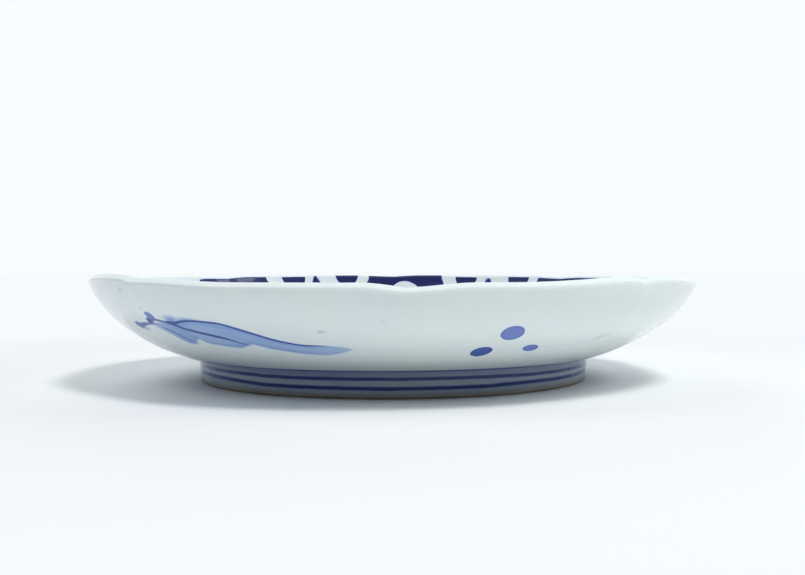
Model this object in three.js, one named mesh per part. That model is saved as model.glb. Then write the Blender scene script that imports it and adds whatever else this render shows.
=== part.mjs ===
// A porcelain dish with an eight-lobed rim, standing on a foot ring that is luted to its underside.
// Units are millimetres and +Z is up. The origin is on the table, under the middle of the dish.
// The front of the dish, where its deepest notch is, faces -Y.
import * as THREE from 'three';

// Rim and lobes
const RIM_RADIUS = 105; // axis to the outside of the lip, at the middle of a lobe
const LIP_HEIGHT = 35.1; // table to the top of the lip, at the middle of a lobe
const LIP_THICKNESS = 3.2; // the lip is a full round of this thickness
const LIP_SLOPE = 67; // degrees above level at which the wall reaches the lip
const NOTCH_TURNS = [2, 45, 90, 135, 180, 225, 270, 313]; // degrees from the front, where two lobes meet
const NOTCH_DEPTH = 1.6; // how far the rim is pinched in at a notch
const NOTCH_DROP = 0.55; // how far the lip dips there
const FRONT_NOTCH_DROP = 1.25; // how far it dips at the front, where it was pressed harder
const NOTCH_STEEP_REACH = 11; // along the rim, where a lobe falls steeply into a notch
const NOTCH_SOFT_REACH = 20; // along the rim, where the next lobe rises softly out of it
const NOTCH_SHARPNESS = 1.5; // power with which the steep side falls
const CREASE_LENGTH = 16; // how far below the lip the pinch has faded out

// Kiln warp of the rim
const RIM_TILT = 0.35; // the lip stands this much higher at -X and lower at +X
const LEFT_LIFT = 2.1; // how far the rim has risen at the front left
const LEFT_LIFT_TURN = -56; // degrees from the front to the middle of that rise
const LEFT_LIFT_REACH = 32; // degrees to either side over which it fades out
const RIGHT_LIFT = 1.5; // how far the rim has risen at the front right
const RIGHT_LIFT_TURN = 47;
const RIGHT_LIFT_REACH = 28;

// Wall, floor and base
const FLOOR_THICKNESS = 4.6; // the wall thins from this down to the lip's thickness
const SEAT_LEDGE = 3; // level underside left standing out over the foot ring
const BELLY_SLOPE = 17; // degrees above level at which the wall leaves that ledge
const BELLY_REACH = 9.5; // how far the wall holds that slope before it bends up
const LIP_REACH = 15.5; // how far below the lip the wall begins to hold the lip's slope
const WELL_SHARE = 0.25; // share of the wall, from the foot up, that rounds into the floor inside
const BASE_HOLLOW = 1.2; // how far the base is turned hollow inside the foot ring

// Foot ring
const FOOT_RADIUS = 68.5; // axis to the ring's outer face, where it meets the dish
const FOOT_HEIGHT = 8.4;
const FOOT_TOP_WIDTH = 6.5; // width of the luted face under the dish
const FOOT_LAND_WIDTH = 2.6; // width of the flat face that stands on the table
const FOOT_TAPER = 0.6; // how far the outer face leans in towards the table
const FOOT_EDGE_RADIUS = 0.8; // rounding beside the land

// Fineness of the faceted surfaces
const STEPS_PER_LOBE = 16;
const FOOT_STEPS = 96;
const WALL_STEPS = 10;
const LIP_STEPS = 6;
const WELL_STEPS = 4;
const HOLLOW_STEPS = 4;
const EDGE_STEPS = 3;

// Counts, heights and radii that the pieces share
const LOBE_COUNT = NOTCH_TURNS.length;
const SEAT_INNER_RADIUS = FOOT_RADIUS - FOOT_TOP_WIDTH;
const FLOOR_HEIGHT = FOOT_HEIGHT + FLOOR_THICKNESS;

// Points of a curve without its first one, so that curves can be chained.
function continuing(curve, steps) {
  return curve.getPoints(steps).slice(1);
}

// A direction in the section, given in degrees above level.
function direction(degrees) {
  const angle = THREE.MathUtils.degToRad(degrees);
  return new THREE.Vector2(Math.cos(angle), Math.sin(angle));
}

// Outside of the wall, from the edge of the ledge over the foot up to the lip.
function outerWallCurve() {
  const lipRadius = LIP_THICKNESS / 2;
  const ledgeEdge = new THREE.Vector2(FOOT_RADIUS + SEAT_LEDGE, FOOT_HEIGHT);
  const wallTop = new THREE.Vector2(RIM_RADIUS - lipRadius, LIP_HEIGHT - lipRadius);
  wallTop.addScaledVector(direction(LIP_SLOPE - 90), lipRadius);
  return new THREE.CubicBezierCurve(
    ledgeEdge,
    ledgeEdge.clone().addScaledVector(direction(BELLY_SLOPE), BELLY_REACH),
    wallTop.clone().addScaledVector(direction(LIP_SLOPE), -LIP_REACH),
    wallTop,
  );
}

// Inside of the wall, from the lip down beside the outer wall, and then round into the level floor.
function innerWallPoints(outerWall) {
  const points = [];
  for (let step = 1; step <= WALL_STEPS; step += 1) {
    const share = THREE.MathUtils.lerp(1, WELL_SHARE, step / WALL_STEPS);
    const tangent = outerWall.getTangent(share);
    const inward = new THREE.Vector2(-tangent.y, tangent.x);
    const thickness = THREE.MathUtils.lerp(FLOOR_THICKNESS, LIP_THICKNESS, share);
    points.push(outerWall.getPoint(share).addScaledVector(inward, thickness));
  }
  const wellTop = points[points.length - 1];
  const wellSlope = outerWall.getTangent(WELL_SHARE);
  const wellRun = (wellTop.y - FLOOR_HEIGHT) / wellSlope.y;
  const wellCorner = wellTop.clone().addScaledVector(wellSlope, -wellRun);
  const floorEdge = new THREE.Vector2(wellCorner.x - wellRun, FLOOR_HEIGHT);
  const well = new THREE.QuadraticBezierCurve(wellTop, wellCorner, floorEdge);
  return [...points, ...continuing(well, WELL_STEPS)];
}

// Section of the dish from the middle of its base, out, over the lip and back to the middle of its floor.
function dishSection() {
  const hollowTop = FOOT_HEIGHT + BASE_HOLLOW;
  const hollow = new THREE.QuadraticBezierCurve(
    new THREE.Vector2(0, hollowTop),
    new THREE.Vector2(SEAT_INNER_RADIUS / 2, hollowTop),
    new THREE.Vector2(SEAT_INNER_RADIUS, FOOT_HEIGHT),
  );
  const outerWall = outerWallCurve();
  const lipRadius = LIP_THICKNESS / 2;
  const lipStart = THREE.MathUtils.degToRad(LIP_SLOPE - 90);
  const lip = new THREE.EllipseCurve(
    RIM_RADIUS - lipRadius,
    LIP_HEIGHT - lipRadius,
    lipRadius,
    lipRadius,
    lipStart,
    lipStart + Math.PI,
  );
  return [
    ...hollow.getPoints(HOLLOW_STEPS),
    ...outerWall.getPoints(WALL_STEPS),
    ...continuing(lip, LIP_STEPS),
    ...innerWallPoints(outerWall),
    new THREE.Vector2(0, FLOOR_HEIGHT),
  ];
}

// A turned solid about the Z axis. Its first column of points faces -Y.
function turned(section, steps) {
  return new THREE.LatheGeometry(section, steps).rotateX(Math.PI / 2);
}

// An angle in degrees from one turn to another, the short way round.
function degreesFrom(start, turn) {
  return THREE.MathUtils.euclideanModulo(turn - start + 180, 360) - 180;
}

// Share of a dip at a distance along the rim from its notch: steep before the notch and soft after it.
function dipShare(along) {
  if (along < 0) {
    return Math.max(1 + along / NOTCH_STEEP_REACH, 0) ** NOTCH_SHARPNESS;
  }
  return 1 - THREE.MathUtils.smoothstep(along, 0, NOTCH_SOFT_REACH);
}

// Share of a rise of the rim at a turn, from 1 at its middle to 0 at its reach.
function riseShare(turn, middle, reach) {
  const away = Math.min(Math.abs(degreesFrom(middle, turn)) / reach, 1);
  return Math.cos((away * Math.PI) / 2) ** 2;
}

// Presses the notches into the rim and lets the rim warp, both fading out down the wall.
function pressLobes(geometry) {
  const place = geometry.getAttribute('position');
  const halfLobe = (RIM_RADIUS * Math.PI) / LOBE_COUNT;
  for (let index = 0; index < place.count; index += 1) {
    const x = place.getX(index);
    const y = place.getY(index);
    const z = place.getZ(index);
    const turn = THREE.MathUtils.radToDeg(Math.atan2(x, -y));
    const crease = THREE.MathUtils.smoothstep(z, LIP_HEIGHT - CREASE_LENGTH, LIP_HEIGHT);
    const lift = THREE.MathUtils.clamp((z - FLOOR_HEIGHT) / (LIP_HEIGHT - FLOOR_HEIGHT), 0, 1);

    let pinch = 0;
    let drop = 0;
    NOTCH_TURNS.forEach((notchTurn, notch) => {
      const along = THREE.MathUtils.degToRad(degreesFrom(notchTurn, turn)) * RIM_RADIUS;
      const fullDrop = notch === 0 ? FRONT_NOTCH_DROP : NOTCH_DROP;
      pinch = Math.max(pinch, NOTCH_DEPTH * Math.max(1 - Math.abs(along) / halfLobe, 0) ** 2);
      drop = Math.max(drop, fullDrop * dipShare(along));
    });
    const tilt = (-RIM_TILT * x) / RIM_RADIUS;
    const leftRise = LEFT_LIFT * riseShare(turn, LEFT_LIFT_TURN, LEFT_LIFT_REACH);
    const rightRise = RIGHT_LIFT * riseShare(turn, RIGHT_LIFT_TURN, RIGHT_LIFT_REACH);

    const radius = Math.hypot(x, y);
    const shrink = radius > 0 ? (radius - pinch * crease) / radius : 1;
    place.setXYZ(index, x * shrink, y * shrink, z - drop * crease + (tilt + leftRise + rightRise) * lift);
  }
  return geometry;
}

// Section of the foot ring: its land, its outer face, the luted face under the dish and its inner face.
function footSection() {
  const landOuter = FOOT_RADIUS - FOOT_TAPER - FOOT_EDGE_RADIUS;
  const landInner = landOuter - FOOT_LAND_WIDTH;
  const quarter = Math.PI / 2;
  const edge = (x, start) =>
    new THREE.EllipseCurve(x, FOOT_EDGE_RADIUS, FOOT_EDGE_RADIUS, FOOT_EDGE_RADIUS, start, start + quarter);
  const outerEdge = edge(landOuter, -quarter).getPoints(EDGE_STEPS);
  return [
    ...outerEdge,
    new THREE.Vector2(FOOT_RADIUS, FOOT_HEIGHT),
    new THREE.Vector2(SEAT_INNER_RADIUS, FOOT_HEIGHT),
    ...edge(landInner, Math.PI).getPoints(EDGE_STEPS),
    outerEdge[0].clone(),
  ];
}

function named(name, geometry, material) {
  const mesh = new THREE.Mesh(geometry, material);
  mesh.name = name;
  return mesh;
}

const glaze = new THREE.MeshStandardMaterial({ color: 0xdfe6e6, roughness: 0.15, metalness: 0 });
const footGlaze = new THREE.MeshStandardMaterial({ color: 0xaeb7bf, roughness: 0.2, metalness: 0 });

const plate = new THREE.Group();
plate.add(named('dish', pressLobes(turned(dishSection(), STEPS_PER_LOBE * LOBE_COUNT)), glaze));
plate.add(named('foot_ring', turned(footSection(), FOOT_STEPS), footGlaze));

export default plate;
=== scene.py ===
# %% [markdown]
# A blue-and-white porcelain dish
#
# The real dish was pressed over a mould with eight lobes, got a thrown foot ring luted under it, was painted
# with cobalt and dipped in a clear glaze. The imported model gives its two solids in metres, with +Z up and the
# front notch towards -Y. This lesson makes the fine surface of both pieces and paints them with shader nodes.

# %% Load the frame
import math

import bmesh
import bpy
from mathutils import Matrix, Vector, noise
from mathutils.geometry import interpolate_bezier


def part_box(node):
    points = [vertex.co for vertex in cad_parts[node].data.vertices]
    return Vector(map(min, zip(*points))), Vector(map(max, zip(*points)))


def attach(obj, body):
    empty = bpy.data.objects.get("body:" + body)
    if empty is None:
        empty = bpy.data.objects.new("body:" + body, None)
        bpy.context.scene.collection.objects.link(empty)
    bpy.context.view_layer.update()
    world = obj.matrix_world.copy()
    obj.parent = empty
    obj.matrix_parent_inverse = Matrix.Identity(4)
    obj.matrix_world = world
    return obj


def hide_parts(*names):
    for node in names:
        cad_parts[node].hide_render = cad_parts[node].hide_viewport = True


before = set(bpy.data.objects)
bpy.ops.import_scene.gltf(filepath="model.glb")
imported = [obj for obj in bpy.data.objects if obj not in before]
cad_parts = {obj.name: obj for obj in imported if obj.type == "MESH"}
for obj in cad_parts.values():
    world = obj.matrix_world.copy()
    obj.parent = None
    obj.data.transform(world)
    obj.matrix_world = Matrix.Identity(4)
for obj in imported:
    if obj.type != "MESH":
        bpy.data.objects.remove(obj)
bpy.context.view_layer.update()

scene = bpy.context.scene

# %% [markdown]
# The camera
#
# The dish is seen from just above its lip, a little over a third of a metre away. A camera could be aimed
# with a constraint, but its place and its tilt are known as numbers, so one matrix holds them all: a step to
# its place, then the tilt down from level, then a slight lean to the right.

# %% Place the camera
MM = 0.001
SENSOR_WIDTH = 36
IMAGE_WIDTH = 805
FOCAL_PIXELS = 1049.7
CAMERA_PLACE = (3.34 * MM, -376.9 * MM, 39.6 * MM)
CAMERA_TILT_DOWN = 1.21
CAMERA_LEAN = 0.25
NEAREST_SEEN = 0.01

camera_data = bpy.data.cameras.new("camera")
camera_data.sensor_width = SENSOR_WIDTH
camera_data.lens = SENSOR_WIDTH * FOCAL_PIXELS / IMAGE_WIDTH
camera_data.clip_start = NEAREST_SEEN
camera = bpy.data.objects.new("camera", camera_data)
scene.collection.objects.link(camera)
level_view = Matrix.Rotation(math.radians(90 - CAMERA_TILT_DOWN), 4, "X")
lean = Matrix.Rotation(math.radians(-CAMERA_LEAN), 4, "Z")
camera.matrix_world = Matrix.Translation(CAMERA_PLACE) @ level_view @ lean
scene.camera = camera
print("Lens in millimetres:", round(camera_data.lens, 2))

# %% [markdown]
# Arithmetic with nodes
#
# Light and paint are rules here: how bright the room is in a direction, or how dark the cobalt is at a place.
# In Blender such a rule is a chain of Math nodes, and a long chain is hard to read in code. The small class
# below wraps a node's output, so that plain arithmetic with it adds the Math nodes. The helpers after it give
# a soft edge, the largest of several values and a choice between two shaders.

# %% Fields


def feed(socket, item):
    """Links a socket to a field, or sets it to a plain value."""
    if isinstance(item, Field):
        item.tree.links.new(item.socket, socket)
    else:
        socket.default_value = item


class Field:
    """A value that changes over a surface or from ray to ray. Arithmetic with it adds Math nodes."""

    def __init__(self, tree, socket):
        self.tree = tree
        self.socket = socket

    def math(self, operation, *others):
        """Adds one Math node, which works on this field and the others."""
        node = self.tree.nodes.new("ShaderNodeMath")
        node.operation = operation
        for socket, item in zip(node.inputs, (self, *others)):
            feed(socket, item)
        return Field(self.tree, node.outputs[0])

    def __add__(self, other):
        return self.math("ADD", other)

    def __sub__(self, other):
        return self.math("SUBTRACT", other)

    def __rsub__(self, other):
        return self.math("MULTIPLY_ADD", -1.0, other)

    def __mul__(self, other):
        return self.math("MULTIPLY", other)

    def __truediv__(self, other):
        return self.math("DIVIDE", other)

    def __abs__(self):
        return self.math("ABSOLUTE")


print("Fields add Math nodes")

# %% Soft edges and choices


def soft_step(value, low, high):
    """A field that rises smoothly from 0 at low to 1 at high."""
    node = value.tree.nodes.new("ShaderNodeMapRange")
    node.interpolation_type = "SMOOTHSTEP"
    feed(node.inputs["Value"], value)
    feed(node.inputs["From Min"], low)
    feed(node.inputs["From Max"], high)
    return Field(value.tree, node.outputs["Result"])


def strongest(*layers):
    """The largest of several fields, such as the darkest of several layers of paint."""
    result = layers[0]
    for layer in layers[1:]:
        result = result.math("MAXIMUM", layer)
    return result


def either_shader(tree, factor, first, second):
    """Shows the first shader where a factor is 0, and the second where it is 1."""
    node = tree.nodes.new("ShaderNodeMixShader")
    feed(node.inputs["Fac"], factor)
    tree.links.new(first.outputs[0], node.inputs[1])
    tree.links.new(second.outputs[0], node.inputs[2])
    return node.outputs[0]


print("Edges and choices are ready")

# %% [markdown]
# The room
#
# The dish stands in a bright room. Most of the light comes from above and from behind, and the room in front
# of the dish is dim. One world colour would light the foot as strongly as the rim, so the world's strength
# changes with the direction that a ray takes. It has two backgrounds, because the one that lights the dish
# must stay moderate, while the one that the camera sees is white. The Light Path node chooses between them.
# In reflections the white room is dimmer in front than overhead, which keeps the dark cobalt deep.

# %% Choose by the kind of ray
scene.view_settings.view_transform = "Standard"


def rays_of_kind(tree, *kinds):
    """A field that is 1 for rays of any of the named kinds, and 0 for the others."""
    path = tree.nodes.new("ShaderNodeLightPath")
    return strongest(*(Field(tree, path.outputs[kind]) for kind in kinds))


def seen_directly(tree):
    """A field that is 1 for what the camera, a reflection or a clear body sees, and 0 for other rays."""
    return rays_of_kind(tree, "Is Camera Ray", "Is Glossy Ray", "Is Transmission Ray")


print("View transform:", scene.view_settings.view_transform)

# %% Light the room
ABOVE_LIGHT = 0.52
BRIGHT_WAY = (-0.25, 0.7, 1.0)
DARK_BELOW = -0.42
ROOM_WHITE = (0.95, 0.98, 1.0, 1)


def facing(ray, way):
    """How far a ray goes one way, as the dot product of the two directions."""
    node = ray.tree.nodes.new("ShaderNodeVectorMath")
    node.operation = "DOT_PRODUCT"
    node.inputs[1].default_value = way
    feed(node.inputs[0], ray)
    return Field(ray.tree, node.outputs["Value"])


def graded(value, low, high, at_low, at_high):
    """A field that changes evenly from at_low, where a value is low, to at_high, where it is high."""
    node = value.tree.nodes.new("ShaderNodeMapRange")
    feed(node.inputs["Value"], value)
    for name, item in zip(("From Min", "From Max", "To Min", "To Max"), (low, high, at_low, at_high)):
        feed(node.inputs[name], item)
    return Field(value.tree, node.outputs["Result"])


def white_background(strength):
    """The room's white, as bright as a field says."""
    node = strength.tree.nodes.new("ShaderNodeBackground")
    node.inputs["Color"].default_value = ROOM_WHITE
    feed(node.inputs["Strength"], strength)
    return node


world = bpy.data.worlds.new("room")
world.use_nodes = True
scene.world = world
room = world.node_tree
room.nodes.clear()
ray = Field(room, room.nodes.new("ShaderNodeTexCoord").outputs["Generated"])
lighting = white_background(graded(facing(ray, BRIGHT_WAY), DARK_BELOW, 1, 0, ABOVE_LIGHT))
print("The room's strongest light:", ABOVE_LIGHT)

# %% Show the room
FRONT_REFLECTION = 0.25
MIRRORED_WAY = (0, 1.0, 1.2)
MIRRORED_DIM = 0.5
MIRRORED_WHITE = 0.95

mirrored_room = graded(facing(ray, MIRRORED_WAY), MIRRORED_DIM, MIRRORED_WHITE, FRONT_REFLECTION, 1)
backdrop = white_background((mirrored_room - 1.0) * rays_of_kind(room, "Is Glossy Ray") + 1.0)
room_output = room.nodes.new("ShaderNodeOutputWorld")
room.links.new(either_shader(room, seen_directly(room), lighting, backdrop), room_output.inputs["Surface"])
print("World nodes:", len(room.nodes))

# %% [markdown]
# The lamps
#
# The room's light alone would leave the dish flat, so lamps give it a shadow and a lighter right side. One
# lamp hangs above the front right and does most of the work. Wide lamps stand for the sky at the left and the
# right, and a low window behind the dish sends light under its rim. The small window at the right is the only
# lamp that reflections find: it leaves a grey sheen on the cobalt at the far left. Sun lamps are simpler, but
# they don't fade with distance. A lamp's strength is written as the share of light that it adds on the table,
# and its energy follows from that.

# %% Hang the lamps
LAMP_DISTANCE = 1.2
LAMP_WHITE = (1.0, 1.0, 1.0)
SKY_BLUE = (0.88, 0.94, 1.0)
LAMPS = {
    "ceiling_lamp": {"towards": (0.35, -0.51, 1.0), "size": 0.32, "share": 0.40, "tint": LAMP_WHITE},
    "left_sky": {"towards": (-0.60, 0.1, 0.79), "size": 0.9, "share": 0.115, "tint": SKY_BLUE},
    "back_window": {"towards": (-0.15, 0.95, 0.27), "size": 0.7, "share": 0.085, "tint": SKY_BLUE},
    "right_sky": {"towards": (0.9, 0.15, 0.42), "size": 0.9, "share": 0.055, "tint": LAMP_WHITE},
    "side_window": {"towards": (0.77, 0.027, 0.637), "size": 0.24, "share": 0.02, "tint": SKY_BLUE},
}
MIRRORED_LAMP = "side_window"


def hang_lamp(name, towards, size, share, tint):
    """A round lamp that adds its share of light on the table, where 1 shows a colour as it is written."""
    way = Vector(towards).normalized()
    lamp_data = bpy.data.lights.new(name, "AREA")
    lamp_data.shape = "DISK"
    lamp_data.size = size
    lamp_data.energy = share * math.pi**2 * LAMP_DISTANCE**2 / way.z
    lamp_data.color = tint
    lamp = bpy.data.objects.new(name, lamp_data)
    lamp.visible_glossy = name == MIRRORED_LAMP
    lamp.location = way * LAMP_DISTANCE
    lamp.rotation_euler = way.to_track_quat("Z", "Y").to_euler()
    scene.collection.objects.link(lamp)
    print(name, "in watts:", round(lamp_data.energy, 2))


for lamp_name, lamp_values in LAMPS.items():
    hang_lamp(lamp_name, **lamp_values)

# %% [markdown]
# The floor
#
# The table top is white and matt. A plain white disc would turn grey towards the horizon, where the lamps'
# light fades, so away from the dish the camera sees it as a white like that of the room. Near the dish it
# stays a lit surface, which keeps the shadow.

# %% Lay the floor
FLOOR_RADIUS = 6.0
FLOOR_BELOW = 0.1 * MM
FLOOR_SEGMENTS = 96

floor_mesh = bmesh.new()
bmesh.ops.create_circle(floor_mesh, cap_ends=True, segments=FLOOR_SEGMENTS, radius=FLOOR_RADIUS)
bmesh.ops.translate(floor_mesh, vec=(0, 0, -FLOOR_BELOW), verts=floor_mesh.verts)
floor_data = bpy.data.meshes.new("floor")
floor_mesh.to_mesh(floor_data)
floor_mesh.free()
floor = bpy.data.objects.new("floor", floor_data)
scene.collection.objects.link(floor)
print("Floor radius in metres:", FLOOR_RADIUS)

# %% Whiten the floor
TABLE_WHITE = (0.94, 0.95, 0.955, 1)
TABLE_ROUGHNESS = 0.9
TABLE_SHINE = 0.1
FAR_WHITE = (0.925, 0.96, 0.985, 1)
FADE_START = 0.14
FADE_END = 0.34

floor_white = bpy.data.materials.new("floor_white")
floor_white.use_nodes = True
floor_tree = floor_white.node_tree
table_top = floor_tree.nodes["Principled BSDF"]
table_top.inputs["Base Color"].default_value = TABLE_WHITE
table_top.inputs["Roughness"].default_value = TABLE_ROUGHNESS
table_top.inputs["Specular IOR Level"].default_value = TABLE_SHINE
far_white = floor_tree.nodes.new("ShaderNodeEmission")
far_white.inputs["Color"].default_value = FAR_WHITE
floor_place = floor_tree.nodes.new("ShaderNodeTexCoord")
from_middle = floor_tree.nodes.new("ShaderNodeVectorMath")
from_middle.operation = "LENGTH"
floor_tree.links.new(floor_place.outputs["Object"], from_middle.inputs[0])
faded = soft_step(Field(floor_tree, from_middle.outputs["Value"]), FADE_START, FADE_END)
shown_floor = either_shader(floor_tree, faded * seen_directly(floor_tree), table_top, far_white)
floor_tree.links.new(shown_floor, floor_tree.nodes["Material Output"].inputs["Surface"])
floor_data.materials.append(floor_white)
print("The floor is lit within", FADE_START, "m of the dish and white beyond", FADE_END)

# %% [markdown]
# The section of the dish
#
# A potter draws a dish as half a section: the hollow base, the level ledge over the foot, the wall that
# swings up to the lip, the lip and the inside coming back to the floor. The outline could be traced point by
# point, but a few curves say it better, and they can be made as fine as needed. The lip starts as a half
# circle, and its outer side is then drawn towards a straight line, because a wiped lip has a flat that
# catches the light. Lengths are in millimetres until a piece is finished, and the foot's sizes come from the
# frame.

# %% Ways to draw a section


def at(radius, height):
    """A point of the section, which lies in the XZ plane."""
    return Vector((radius, 0, height))


def direction(degrees):
    """A unit step in the section, so many degrees above level."""
    return at(math.cos(math.radians(degrees)), math.sin(math.radians(degrees)))


def rounded_corner(start, corner, end, steps):
    """A curve from start to end that bends round a corner."""
    return interpolate_bezier(start, start.lerp(corner, 2 / 3), end.lerp(corner, 2 / 3), end, steps + 1)


def arc(centre, radius, start, end, steps):
    """Points on part of a circle, from one angle in degrees to another."""
    return [centre + radius * direction(start + (end - start) * step / steps) for step in range(steps + 1)]


print("Section helpers are ready")

# %% Draw the outside of the section
RIM_RADIUS = 105
LIP_HEIGHT = 35.1
LIP_RADIUS = 1.6
LIP_SLOPE = 67
LIP_REACH = 15.5
LIP_STEPS = 20
SEAT_LEDGE = 3
BELLY_SLOPE = 17
BELLY_REACH = 9.5
WALL_STEPS = 28
FOOT_TOP_WIDTH = 6.5
BASE_HOLLOW = 1.2
HOLLOW_STEPS = 10

foot_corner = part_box("foot_ring")[1]
FOOT_RADIUS = foot_corner.x / MM
FOOT_HEIGHT = foot_corner.z / MM
SEAT_INNER_RADIUS = FOOT_RADIUS - FOOT_TOP_WIDTH

hollow_middle = at(0, FOOT_HEIGHT + BASE_HOLLOW)
hollow_corner = at(SEAT_INNER_RADIUS / 2, FOOT_HEIGHT + BASE_HOLLOW)
base = rounded_corner(hollow_middle, hollow_corner, at(SEAT_INNER_RADIUS, FOOT_HEIGHT), HOLLOW_STEPS)

ledge_edge = at(FOOT_RADIUS + SEAT_LEDGE, FOOT_HEIGHT)
lip_centre = at(RIM_RADIUS - LIP_RADIUS, LIP_HEIGHT - LIP_RADIUS)
wall_top = lip_centre + LIP_RADIUS * direction(LIP_SLOPE - 90)
belly_handle = ledge_edge + BELLY_REACH * direction(BELLY_SLOPE)
lip_handle = wall_top - LIP_REACH * direction(LIP_SLOPE)
wall = interpolate_bezier(ledge_edge, belly_handle, lip_handle, wall_top, WALL_STEPS + 1)
lip = arc(lip_centre, LIP_RADIUS, LIP_SLOPE - 90, LIP_SLOPE + 90, LIP_STEPS)
print("Points from the base over the lip:", len(base) + len(wall) + len(lip))

# %% Flatten the lip's outer side
BEVEL_FOOT = 12
BEVEL_FLATNESS = 0.85

bevel_foot = lip_centre + LIP_RADIUS * direction(BEVEL_FOOT)
bevel_way = lip_centre + at(0, LIP_RADIUS) - bevel_foot
for point in lip:
    share = min(max((point - bevel_foot).dot(bevel_way) / bevel_way.length_squared, 0), 1)
    if point.x > lip_centre.x and 0 < share < 1:
        point += BEVEL_FLATNESS * (bevel_foot + share * bevel_way - point)
print("Width of the flat in millimetres:", round(bevel_way.length, 2))

# %% Draw the inside of the section
FLOOR_THICKNESS = 4.6
LOWEST_WALL_STEP = 7
WELL_STEPS = 8
FLOOR_STEPS = 8
FLOOR_HEIGHT = FOOT_HEIGHT + FLOOR_THICKNESS

inner_wall = []
for step in range(WALL_STEPS - 1, LOWEST_WALL_STEP - 1, -1):
    slope = (wall[step + 1] - wall[step - 1]).normalized()
    thin_share = step / WALL_STEPS
    thickness = FLOOR_THICKNESS + (2 * LIP_RADIUS - FLOOR_THICKNESS) * thin_share
    inner_wall.append(wall[step] + thickness * Vector((-slope.z, 0, slope.x)))

# The well rounds into the floor from the last of these points, and starts with the wall's slope there.
well_top = inner_wall[-1]
well_run = (well_top.z - FLOOR_HEIGHT) / slope.z
well_corner = well_top - well_run * slope
floor_edge = at(well_corner.x - well_run, FLOOR_HEIGHT)
well = rounded_corner(well_top, well_corner, floor_edge, WELL_STEPS)
well_floor = [floor_edge.lerp(at(0, FLOOR_HEIGHT), step / FLOOR_STEPS) for step in range(FLOOR_STEPS + 1)]

dish_outline = base + wall + lip[1:] + inner_wall + well[1:] + well_floor[1:]
print("Points in the section:", len(dish_outline), "floor edge at radius", round(floor_edge.x, 2))

# %% [markdown]
# Turning the section
#
# Lathe work in Blender is a spin of a chain of edges about the Z axis. A Screw modifier would do it too, but
# the spin operator leaves a real mesh, which can be pressed into lobes afterwards. Before the spin each point
# of the chain gets a number, its distance along the section, and the spin copies it to the whole ring. The
# painting uses it later as a ruler up the wall.

# %% Spin a section
SECTION = "section_place"
MERGE_GAP = 0.001


def places_along(outline):
    """The distance of each point from the first one, measured along the outline."""
    places = [0.0]
    for before, after in zip(outline, outline[1:]):
        places.append(places[-1] + (after - before).length)
    return places


def spun(outline, steps, closed):
    """A bmesh of the outline turned about Z, with each point's place along the outline kept on its ring."""
    turned = bmesh.new()
    ruler = turned.verts.layers.float.new(SECTION)
    chain = [turned.verts.new(point) for point in outline]
    for vert, place in zip(chain, places_along(outline)):
        vert[ruler] = place
    for before, after in zip(chain, chain[1:]):
        turned.edges.new((before, after))
    if closed:
        turned.edges.new((chain[-1], chain[0]))
    section = turned.verts[:] + turned.edges[:]
    bmesh.ops.spin(
        turned, geom=section, axis=(0, 0, 1), cent=(0, 0, 0), angle=math.tau, steps=steps, use_merge=True
    )
    bmesh.ops.remove_doubles(turned, verts=turned.verts, dist=MERGE_GAP)
    bmesh.ops.recalc_face_normals(turned, faces=turned.faces)
    return turned


def finished(turned, name):
    """Scales a bmesh from millimetres to metres and makes it a smooth object."""
    bmesh.ops.scale(turned, vec=(MM, MM, MM), verts=turned.verts)
    for face in turned.faces:
        face.smooth = True
    closed = all(edge.is_manifold for edge in turned.edges)
    mesh = bpy.data.meshes.new(name)
    turned.to_mesh(mesh)
    turned.free()
    piece = bpy.data.objects.new(name, mesh)
    scene.collection.objects.link(piece)
    print(name, "faces:", len(mesh.polygons), "closed:", closed)
    return piece


print("Lathe helpers are ready")

# %% Spin the dish
STEPS_PER_LOBE = 60
LOBE_COUNT = 8

dish_bmesh = spun(dish_outline, STEPS_PER_LOBE * LOBE_COUNT, closed=False)
dish_places = places_along(dish_outline)
WALL_START = dish_places[len(base)]
LIP_TOP = dish_places[len(base) + WALL_STEPS + LIP_STEPS // 2]
print("Millimetres from the wall's foot to the lip's top:", round(LIP_TOP - WALL_START, 2))

# %% [markdown]
# Pressing the lobes
#
# On the mould the rim was pinched in where two lobes meet, and the lip dips there: steeply on one side and
# softly on the other. The front notch was pressed harder, the notches beside it have a small nick, and the
# kiln let two lobes at the front rise. Lattices or shape keys could bend the rim, but a short formula moves
# each point by its angle and height, and stays exact. A slow noise then gives the wall the faint unevenness
# of hand work.

# %% Shapes of a dip and a rise
NOTCH_STEEP_REACH = 11
NOTCH_SOFT_REACH = 20
NOTCH_SHARPNESS = 1.5


def smoothstep(value, low, high):
    """0 below low, 1 above high and a smooth rise between them."""
    share = min(max((value - low) / (high - low), 0), 1)
    return share * share * (3 - 2 * share)


def degrees_from(start, turn):
    """The angle from one turn to another, the short way round."""
    return (turn - start + 180) % 360 - 180


def along_rim(start, turn):
    """Millimetres along the rim from one turn to another."""
    return math.radians(degrees_from(start, turn)) * RIM_RADIUS


def dip_share(along):
    """Share of a dip at a distance along the rim from its notch: steep before the notch and soft after it."""
    if along < 0:
        return max(1 + along / NOTCH_STEEP_REACH, 0) ** NOTCH_SHARPNESS
    return 1 - smoothstep(along, 0, NOTCH_SOFT_REACH)


def rise_share(turn, middle, reach):
    """Share of a rise of the rim, from 1 at its middle to 0 at its reach."""
    away = min(abs(degrees_from(middle, turn)) / reach, 1)
    return math.cos(away * math.pi / 2) ** 2


print("A dip is", NOTCH_STEEP_REACH + NOTCH_SOFT_REACH, "mm long")

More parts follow.
